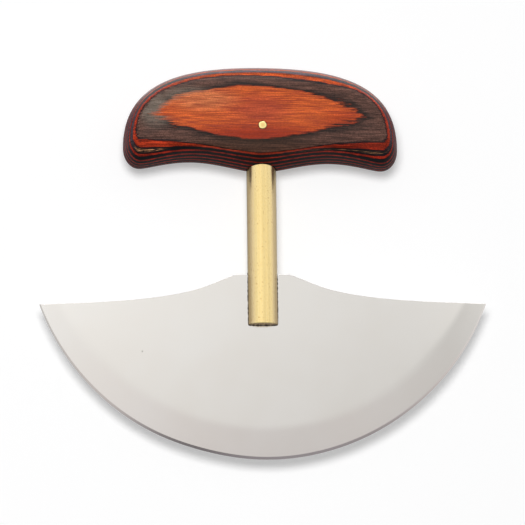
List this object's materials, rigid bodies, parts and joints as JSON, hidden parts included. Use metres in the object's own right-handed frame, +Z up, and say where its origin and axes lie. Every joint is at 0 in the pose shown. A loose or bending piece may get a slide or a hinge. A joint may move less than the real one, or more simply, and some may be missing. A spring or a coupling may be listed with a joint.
{
  "type": "ulu knife",
  "caption": "Half-moon kitchen knife: a curved steel blade on a round brass stem, under a palm handle of dyed laminated wood held by a cross pin.",
  "frame": {"origin": "middle of the blade's length and of the overall height, on the plane of the handle's flat back, which lies on the table", "axes": "+X along the blade, +Y from the cutting edge along the stem to the handle, +Z up out of the front face"},
  "size_m": [0.19, 0.1686, 0.0272],
  "materials": {
    "blade_steel": "fine satin ground",
    "stem_brass": "satin polished",
    "pin_brass": "sanded flush and polished",
    "solder": "dark, rough, as soldered",
    "orange_veneer": "dyed, sealed, satin",
    "black_veneer": "dyed, sealed, satin",
    "red_veneer": "dyed, sealed, satin"
  },
  "bodies": {
    "root": {"blade": "blade_steel", "stem": "stem_brass", "solder_seam": "solder", "handle_pin": "pin_brass", "veneer_01_orange": "orange_veneer", "veneer_02_black": "black_veneer", "veneer_03_red": "red_veneer", "veneer_04_black": "black_veneer", "veneer_05_red": "red_veneer", "veneer_06_black": "black_veneer", "veneer_07_red": "red_veneer", "veneer_08_black": "black_veneer", "veneer_09_red": "red_veneer", "veneer_10_black": "black_veneer", "veneer_11_red": "red_veneer", "veneer_12_black": "black_veneer", "veneer_13_red": "red_veneer", "veneer_14_black": "black_veneer", "veneer_15_red": "red_veneer", "veneer_16_black": "black_veneer", "veneer_17_red": "red_veneer", "veneer_18_black": "black_veneer", "veneer_19_red": "red_veneer", "veneer_20_black": "black_veneer", "veneer_21_red": "red_veneer", "veneer_22_black": "black_veneer", "veneer_23_red": "red_veneer", "veneer_24_black": "black_veneer", "veneer_25_red": "red_veneer", "veneer_26_black": "black_veneer", "veneer_27_orange": "orange_veneer"}
  },
  "joints": []
}
